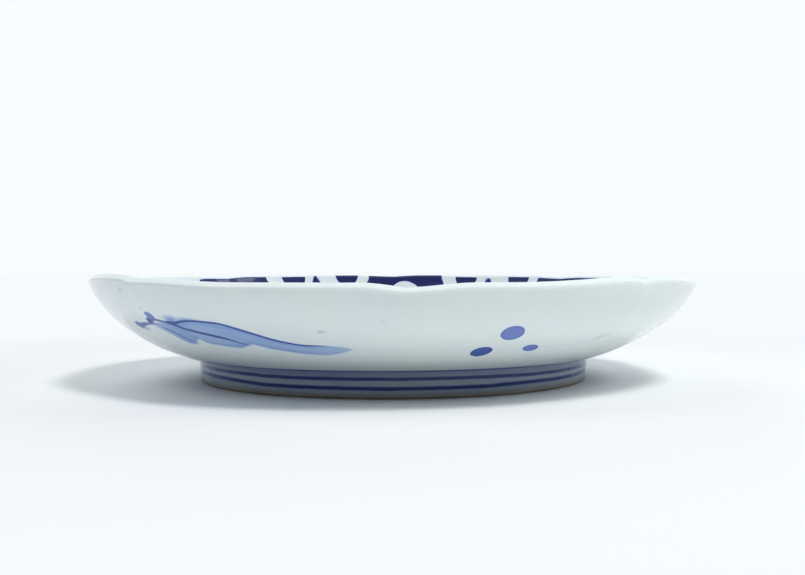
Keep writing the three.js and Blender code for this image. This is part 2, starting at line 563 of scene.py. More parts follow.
# %% Press the lobes
NOTCH_TURNS = (2, 45, 90, 135, 180, 225, 270, 313)
NOTCH_DEPTH = 1.6
NOTCH_DROP = 0.55
FRONT_NOTCH_DROP = 1.25
NICKED_TURNS = (46.7, 311.4)
NICK_DEPTH = 0.35
NICK_DROP = 0.5
NICK_HALF = 4.5
CREASE_LENGTH = 16
RIM_TILT = 0.35
LEFT_LIFT = 2.1
LEFT_LIFT_TURN = -56
LEFT_LIFT_REACH = 32
RIGHT_LIFT = 1.5
RIGHT_LIFT_TURN = 47
RIGHT_LIFT_REACH = 28
HAND_UNEVENNESS = 0.12
UNEVEN_LENGTH = 34
HALF_LOBE = math.pi * RIM_RADIUS / LOBE_COUNT


def press(point):
    """Where a point of the turned dish lies after pressing and firing."""
    turn = math.degrees(math.atan2(point.x, -point.y))
    crease = smoothstep(point.z, LIP_HEIGHT - CREASE_LENGTH, LIP_HEIGHT)
    lift = min(max((point.z - FLOOR_HEIGHT) / (LIP_HEIGHT - FLOOR_HEIGHT), 0), 1)

    pinch = 0
    drop = 0
    for notch_turn in NOTCH_TURNS:
        along = along_rim(notch_turn, turn)
        full_drop = FRONT_NOTCH_DROP if notch_turn == NOTCH_TURNS[0] else NOTCH_DROP
        pinch = max(pinch, NOTCH_DEPTH * max(1 - abs(along) / HALF_LOBE, 0) ** 2)
        drop = max(drop, full_drop * dip_share(along))
    for nicked_turn in NICKED_TURNS:
        nick = max(1 - abs(along_rim(nicked_turn, turn)) / NICK_HALF, 0)
        pinch += NICK_DEPTH * nick
        drop += NICK_DROP * nick
    left_rise = LEFT_LIFT * rise_share(turn, LEFT_LIFT_TURN, LEFT_LIFT_REACH)
    right_rise = RIGHT_LIFT * rise_share(turn, RIGHT_LIFT_TURN, RIGHT_LIFT_REACH)
    tilt = -RIM_TILT * point.x / RIM_RADIUS

    outward = Vector((point.x, point.y, 0)).normalized()
    uneven = HAND_UNEVENNESS * lift * noise.noise(point / UNEVEN_LENGTH)
    upward = (left_rise + right_rise + tilt) * lift - drop * crease
    return point + (uneven - pinch * crease) * outward + Vector((0, 0, upward))


for vert in dish_bmesh.verts:
    vert.co = press(vert.co)
print("Rim height in millimetres:", round(max(vert.co.z for vert in dish_bmesh.verts), 2))

# %% Sort the faces by their finish
OUTSIDE, INSIDE, BASE = range(3)

ruler = dish_bmesh.verts.layers.float[SECTION]
for face in dish_bmesh.faces:
    middle_place = sum(vert[ruler] for vert in face.verts) / len(face.verts)
    if middle_place < WALL_START:
        face.material_index = BASE
    elif middle_place < LIP_TOP:
        face.material_index = OUTSIDE
    else:
        face.material_index = INSIDE
dish = finished(dish_bmesh, "painted_dish")

# %% [markdown]
# The foot ring
#
# The ring was thrown on the wheel and luted to the dish with slip, which leaves a small soft roll in the
# corner. The edge that stands on the table was trimmed with two small roundings. It could be a bevelled
# cylinder, but the same lathe work fits it better: a closed outline, spun about Z.

# %% Turn the foot ring
FOOT_LAND_WIDTH = 2.6
FOOT_TAPER = 0.6
FOOT_EDGE_RADIUS = 0.8
SLIP_ROLL = 0.7
FOOT_STEPS = 256
EDGE_STEPS = 6

land_outer = FOOT_RADIUS - FOOT_TAPER - FOOT_EDGE_RADIUS
land_inner = land_outer - FOOT_LAND_WIDTH
outer_edge = arc(at(land_outer, FOOT_EDGE_RADIUS), FOOT_EDGE_RADIUS, -90, 0, EDGE_STEPS)
slip_roll = arc(at(FOOT_RADIUS + SLIP_ROLL, FOOT_HEIGHT - SLIP_ROLL), SLIP_ROLL, 180, 90, EDGE_STEPS)
inner_edge = arc(at(land_inner, FOOT_EDGE_RADIUS), FOOT_EDGE_RADIUS, 180, 270, EDGE_STEPS)
foot_outline = outer_edge + slip_roll + [at(SEAT_INNER_RADIUS, FOOT_HEIGHT)] + inner_edge
foot_ring = finished(spun(foot_outline, FOOT_STEPS, closed=True), "banded_foot_ring")

# %% [markdown]
# A brush for the painting
#
# On the real dish a loaded brush leaves lines that swell and thin, and washes with soft edges. Here the brush
# is a handful of helpers: a filled shape, a line, a curve that runs smoothly through given points, and
# a stroke that follows such a curve. The Float Curve node draws the curve, as its editor does when points are
# dragged. A texture could be painted by hand instead, but it couldn't be changed with one number.

# %% Lines and strokes
SHORTEST_SPAN = 0.001


def filled(inside, softness, amount=1.0):
    """A filled shape, where inside is positive within it and 0 on its edge."""
    return soft_step(inside, 0.0, softness) * amount


def line(distance, half_width, softness, amount=1.0):
    """A line where a distance is near 0."""
    return filled(half_width - abs(distance), softness, amount)


def drawn_curve(along, points):
    """A field that follows a smooth curve through points, each with its place along and its value there."""
    first, last = points[0][0], points[-1][0]
    lowest = min(value for _, value in points)
    span = max(max(value for _, value in points) - lowest, SHORTEST_SPAN)
    node = along.tree.nodes.new("ShaderNodeFloatCurve")
    node.mapping.extend = "HORIZONTAL"
    curve = node.mapping.curves[0]
    shares = [((place - first) / (last - first), (value - lowest) / span) for place, value in points]
    curve.points[0].location = shares[0]
    curve.points[1].location = shares[-1]
    for share in shares[1:-1]:
        curve.points.new(*share)
    node.mapping.update()
    feed(node.inputs["Value"], (along - first) / (last - first))
    return Field(along.tree, node.outputs["Value"]) * span + lowest


def stroke(along, across, points, softness, amount):
    """A brush stroke through points, each with its place along, its place across and half its width."""
    middle = drawn_curve(along, [(place, value) for place, value, _ in points])
    half_width = drawn_curve(along, [(place, half) for place, _, half in points])
    return line(across - middle, half_width, softness, amount)


print("The brush is ready")

# %% Turns, lengths, noise and colour
HALF_TURN = 180.0
NOISE_MIDDLE = 0.5
FIRST_COLOR, SECOND_COLOR, MIXED_COLOR = 6, 7, 2


def wrapped(turn, half):
    """A turn in degrees, brought between -half and half by whole steps."""
    return turn.math("WRAP", half, -half)


def arc_length(turn, out):
    """The length that a turn in degrees makes at a distance out from the axis."""
    return turn * math.radians(1) * out


def hypotenuse(aside, above):
    """The straight distance that two lengths at right angles make."""
    return (aside * aside + above * above).math("SQRT")


def noise_field(position, length, detail):
    """A noise from 0 to 1 whose swells are about as long as length."""
    node = position.tree.nodes.new("ShaderNodeTexNoise")
    node.inputs["Scale"].default_value = 1 / length
    node.inputs["Detail"].default_value = detail
    feed(node.inputs["Vector"], position)
    return Field(position.tree, node.outputs["Fac"])


def mixed_color(tree, factor, first, second, blend="MIX"):
    """A colour between two others."""
    node = tree.nodes.new("ShaderNodeMix")
    node.data_type = "RGBA"
    node.blend_type = blend
    feed(node.inputs["Factor"], factor)
    feed(node.inputs[FIRST_COLOR], first)
    feed(node.inputs[SECOND_COLOR], second)
    return Field(tree, node.outputs[MIXED_COLOR])


print("Surface helpers are ready")

# %% [markdown]
# Groups that the finishes share
#
# Four effects serve every glazed surface, so each is a node group with named sockets, built once. One gives
# the place on the dish: the turn from the front, the distance out from the axis and the height. One is the
# unsteady hand that holds the brush. One is the skin of the clear glaze, with its clouds of blue and green,
# its iron specks and its faint ripple. The last turns an amount of cobalt into the colour that shows through
# the glaze.

# %% Group helpers
FLOAT = "NodeSocketFloat"
COLOR = "NodeSocketColor"
VECTOR = "NodeSocketVector"


def new_group(name, inputs, outputs):
    """An empty node group: its tree, its inputs as fields and the sockets that it puts out."""
    tree = bpy.data.node_groups.new(name, "ShaderNodeTree")
    for label, kind in inputs.items():
        tree.interface.new_socket(label, in_out="INPUT", socket_type=kind)
    for label, kind in outputs.items():
        tree.interface.new_socket(label, in_out="OUTPUT", socket_type=kind)
    entry = tree.nodes.new("NodeGroupInput")
    given = {label: Field(tree, entry.outputs[label]) for label in inputs}
    return tree, given, tree.nodes.new("NodeGroupOutput").inputs


def placed(tree, group, **inputs):
    """Places a group in a tree and returns what it puts out as fields."""
    node = tree.nodes.new("ShaderNodeGroup")
    node.node_tree = group
    for label, item in inputs.items():
        feed(node.inputs[label], item)
    return {socket.name: Field(tree, socket) for socket in node.outputs}


print("Group helpers are ready")

# %% The place on the dish
dish_place, given, put_out = new_group(
    "Dish place", {"Object": VECTOR}, {"Position": VECTOR, "Turn": FLOAT, "Out": FLOAT, "Height": FLOAT}
)
in_millimetres = dish_place.nodes.new("ShaderNodeVectorMath")
in_millimetres.operation = "SCALE"
in_millimetres.inputs["Scale"].default_value = 1 / MM
feed(in_millimetres.inputs[0], given["Object"])
split = dish_place.nodes.new("ShaderNodeSeparateXYZ")
dish_place.links.new(in_millimetres.outputs[0], split.inputs[0])
x, y, z = (Field(dish_place, socket) for socket in split.outputs)
feed(put_out["Position"], Field(dish_place, in_millimetres.outputs[0]))
feed(put_out["Turn"], x.math("ARCTAN2", y * -1.0).math("DEGREES"))
feed(put_out["Out"], hypotenuse(x, y))
feed(put_out["Height"], z)
print("Group made:", dish_place.name)

# %% The unsteady hand
SWAY_LENGTH = 9.0
SWAY_DETAIL = 3
SWAY_REACH = 0.7
GRAIN_LENGTH = 0.7

brush_hand, given, put_out = new_group(
    "Brush hand", {"Position": VECTOR}, {"Sway": FLOAT, "Drift": FLOAT, "Grain": FLOAT}
)
sway_noise = brush_hand.nodes.new("ShaderNodeTexNoise")
sway_noise.inputs["Scale"].default_value = 1 / SWAY_LENGTH
sway_noise.inputs["Detail"].default_value = SWAY_DETAIL
feed(sway_noise.inputs["Vector"], given["Position"])
sway_parts = brush_hand.nodes.new("ShaderNodeSeparateColor")
brush_hand.links.new(sway_noise.outputs["Color"], sway_parts.inputs[0])
feed(put_out["Sway"], (Field(brush_hand, sway_parts.outputs[0]) - NOISE_MIDDLE) * SWAY_REACH)
feed(put_out["Drift"], (Field(brush_hand, sway_parts.outputs[1]) - NOISE_MIDDLE) * SWAY_REACH)
feed(put_out["Grain"], noise_field(given["Position"], GRAIN_LENGTH, detail=2.0))
print("Group made:", brush_hand.name)

# %% The skin of the glaze
CLOUD_LENGTH = 38.0
MIST_LENGTH = 5.0
CLOUD_SHARE = 0.75
CLOUD_EDGES = (0.35, 0.65)
RIPPLE_LENGTH = 2.4
SPECK_SPACING = 13.0
SPECK_RADIUS = 0.032
SPECK_RARITY = (0.82, 0.83)
SPECK_DARKNESS = 0.7
SPECK_PIT = 0.4
GLAZE_BLUE = (0.85, 0.94, 0.965, 1)
GLAZE_GREEN = (0.88, 0.96, 0.945, 1)
IRON_BROWN = (0.20, 0.17, 0.14, 1)
LEAST_ROUGHNESS = 0.04
MIST_ROUGHNESS = 0.05

glaze_skin, given, put_out = new_group(
    "Glaze skin", {"Position": VECTOR}, {"Color": COLOR, "Roughness": FLOAT, "Ripple": FLOAT}
)
cloud = noise_field(given["Position"], CLOUD_LENGTH, detail=2.0)
mist = noise_field(given["Position"], MIST_LENGTH, detail=3.0)
cloudy = soft_step(cloud * CLOUD_SHARE + mist * (1 - CLOUD_SHARE), *CLOUD_EDGES)
cells = glaze_skin.nodes.new("ShaderNodeTexVoronoi")
cells.inputs["Scale"].default_value = 1 / SPECK_SPACING
feed(cells.inputs["Vector"], given["Position"])
cell_parts = glaze_skin.nodes.new("ShaderNodeSeparateColor")
glaze_skin.links.new(cells.outputs["Color"], cell_parts.inputs[0])
chosen = soft_step(Field(glaze_skin, cell_parts.outputs[0]), *SPECK_RARITY)
spread = Field(glaze_skin, cell_parts.outputs[1]) * SPECK_RADIUS
speck = filled(spread - Field(glaze_skin, cells.outputs["Distance"]), SPECK_RADIUS / 3) * chosen
clear = mixed_color(glaze_skin, cloudy, GLAZE_BLUE, GLAZE_GREEN)
feed(put_out["Color"], mixed_color(glaze_skin, speck * SPECK_DARKNESS, clear, IRON_BROWN))
feed(put_out["Roughness"], mist * MIST_ROUGHNESS + LEAST_ROUGHNESS)
feed(put_out["Ripple"], noise_field(given["Position"], RIPPLE_LENGTH, detail=1.0) - speck * SPECK_PIT)
print("Group made:", glaze_skin.name)

# %% Cobalt under the glaze
COBALT_TINTS = {
    0.0: (1.0, 1.0, 1.0, 1),
    0.30: (0.31, 0.452, 0.825, 1),
    0.55: (0.18, 0.235, 0.66, 1),
    0.80: (0.05, 0.10, 0.45, 1),
    1.0: (0.02, 0.022, 0.13, 1),
}

cobalt, given, put_out = new_group("Cobalt in glaze", {"Glaze": COLOR, "Amount": FLOAT}, {"Color": COLOR})
tints = cobalt.nodes.new("ShaderNodeValToRGB")
ramp = tints.color_ramp.elements
for amount in list(COBALT_TINTS)[1:-1]:
    ramp.new(amount)
for stop, tint in zip(ramp, COBALT_TINTS.values()):
    stop.color = tint
feed(tints.inputs["Fac"], given["Amount"])
tint_color = Field(cobalt, tints.outputs["Color"])
feed(put_out["Color"], mixed_color(cobalt, 1.0, given["Glaze"], tint_color, "MULTIPLY"))
print("Cobalt tints:", len(ramp))

# %% [markdown]
# A glazed finish
#
# Every glazed surface is built alike: find the place, take the glaze's skin, ask a painting rule for the
# amount of cobalt there, and let the cobalt tint the glaze. So one function makes the material, and it is
# handed the rule. On the lip the glaze ran thin and the porcelain shows whiter, and the white on the lip's
# outer side is made broader and brighter as a painted highlight; the ruler along the section finds it. Other
# rules may add grey stains or a painted shade, more places where the glaze is thin, a painted highlight along
# the creases, and a tint of painted shade over the whole glaze. The glaze is a smooth dielectric, and its
# index of refraction is set on the shader itself.

# %% The glazed material
GLAZE_INDEX = 1.5
RIPPLE_STRENGTH = 0.1
RIPPLE_DEPTH = 0.2 * MM
# Thin glaze on the lip and the upper inside shows this white; on the lip's outer side and along the creases it
# is a painted highlight.
WHITE_GLAZE_AND_HIGHLIGHT = (0.90, 0.985, 1.0, 1)
# Grey for real stains on the wall, and for painted shade in the foot's corner.
STAIN_AND_SHADE_GREY = (0.40, 0.43, 0.42, 1)
NO_SHADE_TINT = (1.0, 1.0, 1.0, 1)
# How far the lip's white reaches; on the outer side it is widened as a painted highlight.
WHITE_OUTSIDE = 2.3
WHITE_INSIDE = 0.9
WHITE_SOFTNESS = 0.5


def lip_white_and_highlight(place):
    """How white the lip is, from a little outside its top to a little inside: thin glaze, and a painted
    highlight on the outer side.
    """
    past_lip = place["Section"] - LIP_TOP
    outer = soft_step(past_lip, -WHITE_OUTSIDE - WHITE_SOFTNESS, -WHITE_OUTSIDE + WHITE_SOFTNESS)
    return outer * soft_step(past_lip, WHITE_INSIDE + WHITE_SOFTNESS, WHITE_INSIDE - WHITE_SOFTNESS)


def glazed_material(name, painting, stains_and_shade=None, whitening=None, shade_tint=NO_SHADE_TINT):
    """A glaze over porcelain that a rule has painted with cobalt. The last argument is a tint of painted shade
    that darkens the whole glaze.
    """
    material = bpy.data.materials.new(name)
    material.use_nodes = True
    tree = material.node_tree
    coordinates = tree.nodes.new("ShaderNodeTexCoord")
    place = placed(tree, dish_place, Object=Field(tree, coordinates.outputs["Object"]))
    section = tree.nodes.new("ShaderNodeAttribute")
    section.attribute_name = SECTION
    place["Section"] = Field(tree, section.outputs["Fac"])
    skin = placed(tree, glaze_skin, Position=place["Position"])
    hand = placed(tree, brush_hand, Position=place["Position"])

    # Whiter places: thin glaze on the lip and the upper inside, and painted highlight on the lip's outer side
    # and the creases.
    whitened = lip_white_and_highlight(place)
    if whitening:
        whitened = strongest(whitened, whitening(place))
    glaze = mixed_color(tree, whitened, skin["Color"], WHITE_GLAZE_AND_HIGHLIGHT)
    # Painted shade: a tint that darkens the whole glaze of a piece in shadow, here the foot ring.
    if shade_tint != NO_SHADE_TINT:
        glaze = mixed_color(tree, 1.0, glaze, shade_tint, "MULTIPLY")
    # Grey stains, and on the foot a painted shade in the corner.
    if stains_and_shade:
        glaze = mixed_color(tree, stains_and_shade(place), glaze, STAIN_AND_SHADE_GREY)
    painted = placed(tree, cobalt, Glaze=glaze, Amount=painting(place, hand))

    shader = tree.nodes["Principled BSDF"]
    shader.inputs["IOR"].default_value = GLAZE_INDEX
    feed(shader.inputs["Base Color"], painted["Color"])
    feed(shader.inputs["Roughness"], skin["Roughness"])
    bump = tree.nodes.new("ShaderNodeBump")
    bump.inputs["Strength"].default_value = RIPPLE_STRENGTH
    bump.inputs["Distance"].default_value = RIPPLE_DEPTH
    feed(bump.inputs["Height"], skin["Ripple"])
    tree.links.new(bump.outputs["Normal"], shader.inputs["Normal"])
    return material


print("Glazed materials are made by one function")

# %% [markdown]
# The painting on the outside
#
# A long leaf lies along the wall at the left: dark outlines drawn with a fine brush over a pale wash, with a
# forked stem. Three dabs of a fuller brush are at the right, and the cobalt has run a little in places. An
# image would need the paint to be drawn somewhere else, so each mark is a rule instead: a stroke follows a
# curve through a few points, given as millimetres round the wall from the front and millimetres up from the
# foot, and a dab is an ellipse. The marks repeat on the far side. Grey stains and a painted highlight, a paler
# line along the creases below the notches, are rules of the same kind.

# %% Lines of the leaf
LINE_SOFTNESS = 0.4
PRONG_SOFTNESS = 0.8
LEAF_CONTOUR = [
    (-70.3, 30.1, 0), (-67.6, 30.1, 0.9), (-65.3, 30.2, 0.85), (-62.9, 30.9, 0.7), (-56.5, 31.6, 0.65),
    (-52.9, 31.5, 0.65), (-47.9, 31, 0.65), (-43.7, 29.5, 0.7), (-38.4, 27, 0.75), (-35.8, 25.7, 0.75),
    (-33, 24.3, 0.75), (-28.6, 22.7, 0.7), (-24, 21.8, 0.6), (-19, 21.8, 0.3), (-15.5, 21.6, 0),
]
LEAF_VEIN = [
    (-70.3, 30, 0), (-67.7, 29.6, 0.9), (-63.2, 27.9, 0.85), (-58.1, 26.6, 0.85), (-53.5, 25.4, 0.9),
    (-48.7, 23.8, 0.75), (-45.5, 22.1, 0.55), (-43.7, 21.3, 0.45), (-42.8, 20.8, 0),
]
LOW_LINE = [
    (-76.5, 29.1, 0), (-75, 28.6, 0.5), (-74, 27.6, 0.65), (-71.7, 26.5, 0.75), (-69, 24.4, 0.8),
    (-66.6, 22.4, 0.7), (-65.5, 21.5, 0.4), (-64.6, 20.8, 0),
]
STEM = [
    (-79.5, 30.4, 0), (-78.6, 30.5, 0.7), (-75.9, 30.9, 0.65), (-73.4, 30.7, 0.65), (-70.4, 30.1, 0.75),
    (-68.3, 29.9, 0.8), (-67, 29.8, 0),
]
LOW_PRONG = [
    (-91, 27.9, 0), (-89.6, 27.8, 1.5), (-88.6, 27.3, 1.7), (-86.1, 27.7, 1.3), (-81.5, 28.6, 0.9),
    (-76.8, 29, 0.65), (-75, 28.6, 0.5), (-73.8, 28, 0),
]
STROKES = (
    {"points": LEAF_CONTOUR, "softness": LINE_SOFTNESS, "amount": 0.85},
    {"points": LEAF_VEIN, "softness": LINE_SOFTNESS, "amount": 0.87},
    {"points": LOW_LINE, "softness": LINE_SOFTNESS, "amount": 0.74},
    {"points": STEM, "softness": LINE_SOFTNESS, "amount": 0.7},
    {"points": LOW_PRONG, "softness": PRONG_SOFTNESS, "amount": 0.8},
)
# The steep prong is drawn upwards, so its points give the height first.
HIGH_PRONG = [
    (28.6, -80, 0), (29.2, -79.4, 1.4), (30.2, -77.9, 2.2), (31.4, -76.2, 2.4), (32.2, -76.2, 2.4),
    (33.1, -76.5, 2.2), (33.9, -76.8, 0),
]
STEEP_STROKE = {"points": HIGH_PRONG, "softness": PRONG_SOFTNESS, "amount": 0.56}
print("Lines of the leaf:", len(STROKES) + 1)

# %% Wash of the leaf
WASH_TOP = [
    (-80.5, 28.4), (-78, 29.1), (-75.5, 29.9), (-73, 30.2), (-70.5, 30.1), (-68, 30.2), (-64.8, 30.5),
    (-59.7, 31.5), (-52, 31.4), (-45.6, 30.5), (-41, 29), (-35.8, 25.9), (-28.6, 23), (-24, 22.1),
    (-19, 22.1), (-15.3, 21.7), (-12.3, 20.9), (-10.7, 19.7),
]
WASH_FOOT = [
    (-80.5, 29.2), (-79, 28.3), (-77.4, 27.3), (-75.3, 25.9), (-73.3, 24.4), (-71.3, 22.6), (-69.6, 20.8),
    (-67.1, 19.8), (-63.8, 21), (-61.3, 22.6), (-60.7, 22.3), (-59.9, 21.3), (-58.4, 20.6), (-55.5, 20),
    (-51.9, 19.4), (-48.2, 19.1), (-45.4, 19.8), (-43.4, 21.1), (-42.3, 21.4), (-39.9, 20.8), (-37, 19.5),
    (-33.1, 18.1), (-29.2, 17), (-25, 16.2), (-20.8, 15.9), (-16.3, 16.8), (-12.7, 18.4), (-10.7, 19.7),
]
WASH_STRENGTH = [
    (-80, 0.6), (-74, 0.75), (-66, 1.22), (-58, 1), (-45, 1.06), (-33, 0.98), (-22, 0.88), (-11, 0.68),
]
WASH_EDGE = (-0.4, 1.0)
WASH_AMOUNT = 0.2
WASH_GRAIN = 0.1
SETTLED_EDGE = (2.6, 0.6)
SETTLED_AMOUNT = 0.06


def leaf_wash(around, up, hand):
    """The pale wash of the leaf, a little darker along its edge, where the cobalt settled."""
    below_top = drawn_curve(around, WASH_TOP) - up
    above_foot = up - drawn_curve(around, WASH_FOOT)
    from_edge = below_top.math("MINIMUM", above_foot)
    settled = soft_step(from_edge, *SETTLED_EDGE) * SETTLED_AMOUNT
    amount = settled + hand["Grain"] * WASH_GRAIN + WASH_AMOUNT
    return soft_step(from_edge, *WASH_EDGE) * amount * drawn_curve(around, WASH_STRENGTH)


print("Points round the wash:", len(WASH_TOP) + len(WASH_FOOT))

# %% Dabs, blots and stains
DABS = (
    {"middle": (34, 27.3), "half": (3.7, 3.3), "tilt": -13, "amount": 0.55, "softness": 0.13},
    {"middle": (27.8, 17.6), "half": (3.6, 3), "tilt": 27, "amount": 0.78, "softness": 0.13},
    {"middle": (43.8, 18.9), "half": (3, 2.1), "tilt": -12, "amount": 0.58, "softness": 0.13},
)
BLOTS = (
    {"middle": (-78.3, 30.2), "half": (2.4, 1.5), "tilt": 0, "amount": 0.92, "softness": 0.6},
    {"middle": (-88.6, 27.7), "half": (2.8, 1.9), "tilt": 0, "amount": 0.76, "softness": 0.6},
    {"middle": (-86.3, 26.2), "half": (4.2, 1.7), "tilt": 0, "amount": 0.25, "softness": 0.9},
    {"middle": (-66.3, 31.3), "half": (5.6, 2.6), "tilt": 0, "amount": 0.36, "softness": 1.0},
    {"middle": (-60, 31.9), "half": (7.5, 1.3), "tilt": 0, "amount": 0.27, "softness": 0.9},
    {"middle": (-65.6, 21), "half": (2.6, 1.8), "tilt": 0, "amount": 0.36, "softness": 0.9},
    {"middle": (-18.6, 28.6), "half": (1.5, 1), "tilt": 20, "amount": 0.14, "softness": 0.9},
)
STAINS = (
    {"middle": (-85.9, 40.3), "half": (1.6, 1), "tilt": 30, "amount": 0.4, "softness": 0.9},
    {"middle": (-79.1, 35), "half": (1.4, 1), "tilt": 0, "amount": 0.35, "softness": 0.9},
    {"middle": (-17.6, 28.4), "half": (1, 0.7), "tilt": 20, "amount": 0.25, "softness": 0.9},
    {"middle": (-1.7, 33), "half": (1, 0.7), "tilt": 0, "amount": 0.2, "softness": 0.9},
    {"middle": (70, 23), "half": (6, 1.8), "tilt": 20, "amount": 0.28, "softness": 0.9},
)
DAB_RIM = (0.4, 0.05)
DAB_RIM_AMOUNT = 0.12


def ellipse(around, up, middle, half, tilt):
    """A field that is 1 in the middle of an ellipse, 0 on its edge and negative outside."""
    aside = around - middle[0]
    above = up - middle[1]
    cosine = math.cos(math.radians(tilt))
    sine = math.sin(math.radians(tilt))
    long_share = (aside * cosine + above * sine) / half[0]
    short_share = (above * cosine - aside * sine) / half[1]
    return 1.0 - hypotenuse(long_share, short_share)


def dab(around, up, middle, half, tilt, amount, softness):
    """A dab of a full brush, darkest along its edge, where the cobalt settles."""
    inside = ellipse(around, up, middle, half, tilt)
    settled = soft_step(inside, *DAB_RIM) * DAB_RIM_AMOUNT + amount
    return filled(inside, softness) * settled


print("Dabs, blots and stains:", len(DABS), len(BLOTS), len(STAINS))

# %% Paint the outside
WALL_RADIUS = 95
WALL_MM_PER_DEGREE = math.radians(WALL_RADIUS)
JOINT_LINE = [(-149, 0.9, 1.3), (-60, 0.9, 1.2), (0, 0.9, 1.3), (70, 0.9, 1.2), (149, 0.9, 1.3)]
SECOND_JOINT_LINE = [(-125, 4.6, 0), (-110, 4.5, 0.7), (-90, 4.3, 0.7), (-70, 3.8, 0.6), (-55, 3.2, 0)]
JOINT_STROKES = (
    {"points": JOINT_LINE, "softness": 0.8, "amount": 0.85},
    {"points": SECOND_JOINT_LINE, "softness": 0.6, "amount": 0.5},
)


def outside_painting(place, hand):
    """The amount of cobalt on the outside of the wall, the same on both halves of the dish."""
    around = wrapped(place["Turn"], HALF_TURN / 2) * WALL_MM_PER_DEGREE + hand["Sway"]
    height = place["Section"] - WALL_START
    up = height + hand["Drift"]
    return strongest(
        leaf_wash(around, up, hand),
        *(stroke(around, up, **mark) for mark in STROKES),
        stroke(up, around, **STEEP_STROKE),
        *(dab(around, up, **mark) for mark in DABS + BLOTS),
        *(stroke(around, height, **mark) for mark in JOINT_STROKES),
    )


print("Lines over the foot:", len(JOINT_STROKES))

# %% Stain the outside and paint a highlight on its creases
# Painted highlight: a paler line down each crease below a side or back notch.
CREASE_TURNS = NICKED_TURNS + NOTCH_TURNS[2:-1]
CREASE_HALF = 3.0
CREASE_HIGHLIGHT = 0.9
CREASE_START = 20.0
CREASE_END = 34.0


def outside_staining(place):
    """The strength of the grey stains on the outside of the wall."""
    around = place["Turn"] * WALL_MM_PER_DEGREE
    up = place["Section"] - WALL_START
    return strongest(*(dab(around, up, **mark) for mark in STAINS))


def crease_highlight(place):
    """A painted highlight: a paler line along the creases below the notches at the sides and the back."""
    away = [abs(wrapped(place["Turn"] - turn, HALF_TURN)) for turn in CREASE_TURNS]
    nearest = away[0]
    for degrees in away[1:]:
        nearest = nearest.math("MINIMUM", degrees)
    ridge = soft_step(nearest * WALL_MM_PER_DEGREE, CREASE_HALF, 0.0)
    return ridge * soft_step(place["Section"] - WALL_START, CREASE_START, CREASE_END) * CREASE_HIGHLIGHT


painted_outside = glazed_material("painted_outside", outside_painting, outside_staining, crease_highlight)
print("Outside nodes:", len(painted_outside.node_tree.nodes))

# %% [markdown]
# The painting on the inside
#
# Only the top of the inside shows from the front: a white lip of uneven width, a dark block with a round
# white window below each notch, two dark tabs on each lobe and a small dark tip between them. The rest
# follows in the same spirit, with leaves on the wall and a flower in a beaded band on the floor. Each lobe
# could have its own marks, but the wall repeats with the lobes, so the turn is wrapped to one lobe, and the
# rules are written once. Near the lip the glaze is thin and whiter, and the pale washes vary as watery cobalt
# does.

# %% Find the place on a lobe
LIP_MM_PER_DEGREE = math.radians(RIM_RADIUS)
LOBE_DEGREES = 360 / LOBE_COUNT
PATTERN_TURN = 2.2
WIDER_SPACING = [
    (-180, 0), (-160, 0), (-156, 0.7), (-151, 0.7), (-148, 0), (-134, 0), (-129, -1.5), (-122, -1.5),
    (-115, 0), (157, 0), (161, 0.6), (167, 0.8), (173, 0.8), (177, 0), (180, 0),
]
WHITE_LIP = [
    (-180, 0.85), (-163, 0.85), (-156, 2), (-140, 1.95), (-130, 2.2), (-126, 3), (-122, 3.4), (-110, 3.3),
    (-60, 1.2), (-40, 0.8), (40, 0.8), (60, 1.2), (105, 2.8), (118, 2.6), (125, 2.35), (145, 2.2),
    (151.5, 2.2), (154, 2.9), (157.5, 2.9), (159.5, 2.3), (163, 2.3), (169, 0.85), (180, 0.85),
]
TIP_ASIDE = 41.9
FIRM_DRIFT = 0.4
FIRM_SWAY = 0.5


def place_on_lobe(place, hand):
    """Lengths that the marks on one lobe share, in millimetres, and the turn from its notch."""
    turn = place["Turn"] + PATTERN_TURN + drawn_curve(place["Turn"], WIDER_SPACING)
    down = place["Section"] - LIP_TOP + hand["Drift"] * FIRM_DRIFT
    from_notch = wrapped(turn, LOBE_DEGREES / 2)
    from_tip = wrapped(turn - TIP_ASIDE / LIP_MM_PER_DEGREE, LOBE_DEGREES / 2)
    sway = hand["Sway"] * FIRM_SWAY
    return {
        "down": down,
        "below_white": down - drawn_curve(place["Turn"], WHITE_LIP),
        "from_notch": from_notch,
        "aside": from_notch * LIP_MM_PER_DEGREE + sway,
        "beside_tip": arc_length(abs(from_tip), place["Out"]) + sway,
    }


print("Degrees in a lobe:", LOBE_DEGREES)

# %% Blocks and tabs
MARK_SOFTNESS = 0.5
BLOCK_WIDTHS = [(0, 16.7), (3, 16.8), (5.5, 17.8), (9, 17.4), (16, 15.5), (23, 11.5), (28, 5), (30, 0)]
WINDOW_RADIUS = 5.4
WINDOW_DOWN = [(-180, 9.6), (-155, 9.6), (-140, 11), (-130, 11), (-90, 9.6), (180, 9.6)]
BLOSSOM_PETALS = 5.0
BLOSSOM_WAVE = 0.3
BLOSSOM_RADIUS = 1.0
BLOSSOM_HEART = 0.6
TABS = ((26.8, 5.5), (-28.9, 5.9))
TAB_DEPTH = 6.0


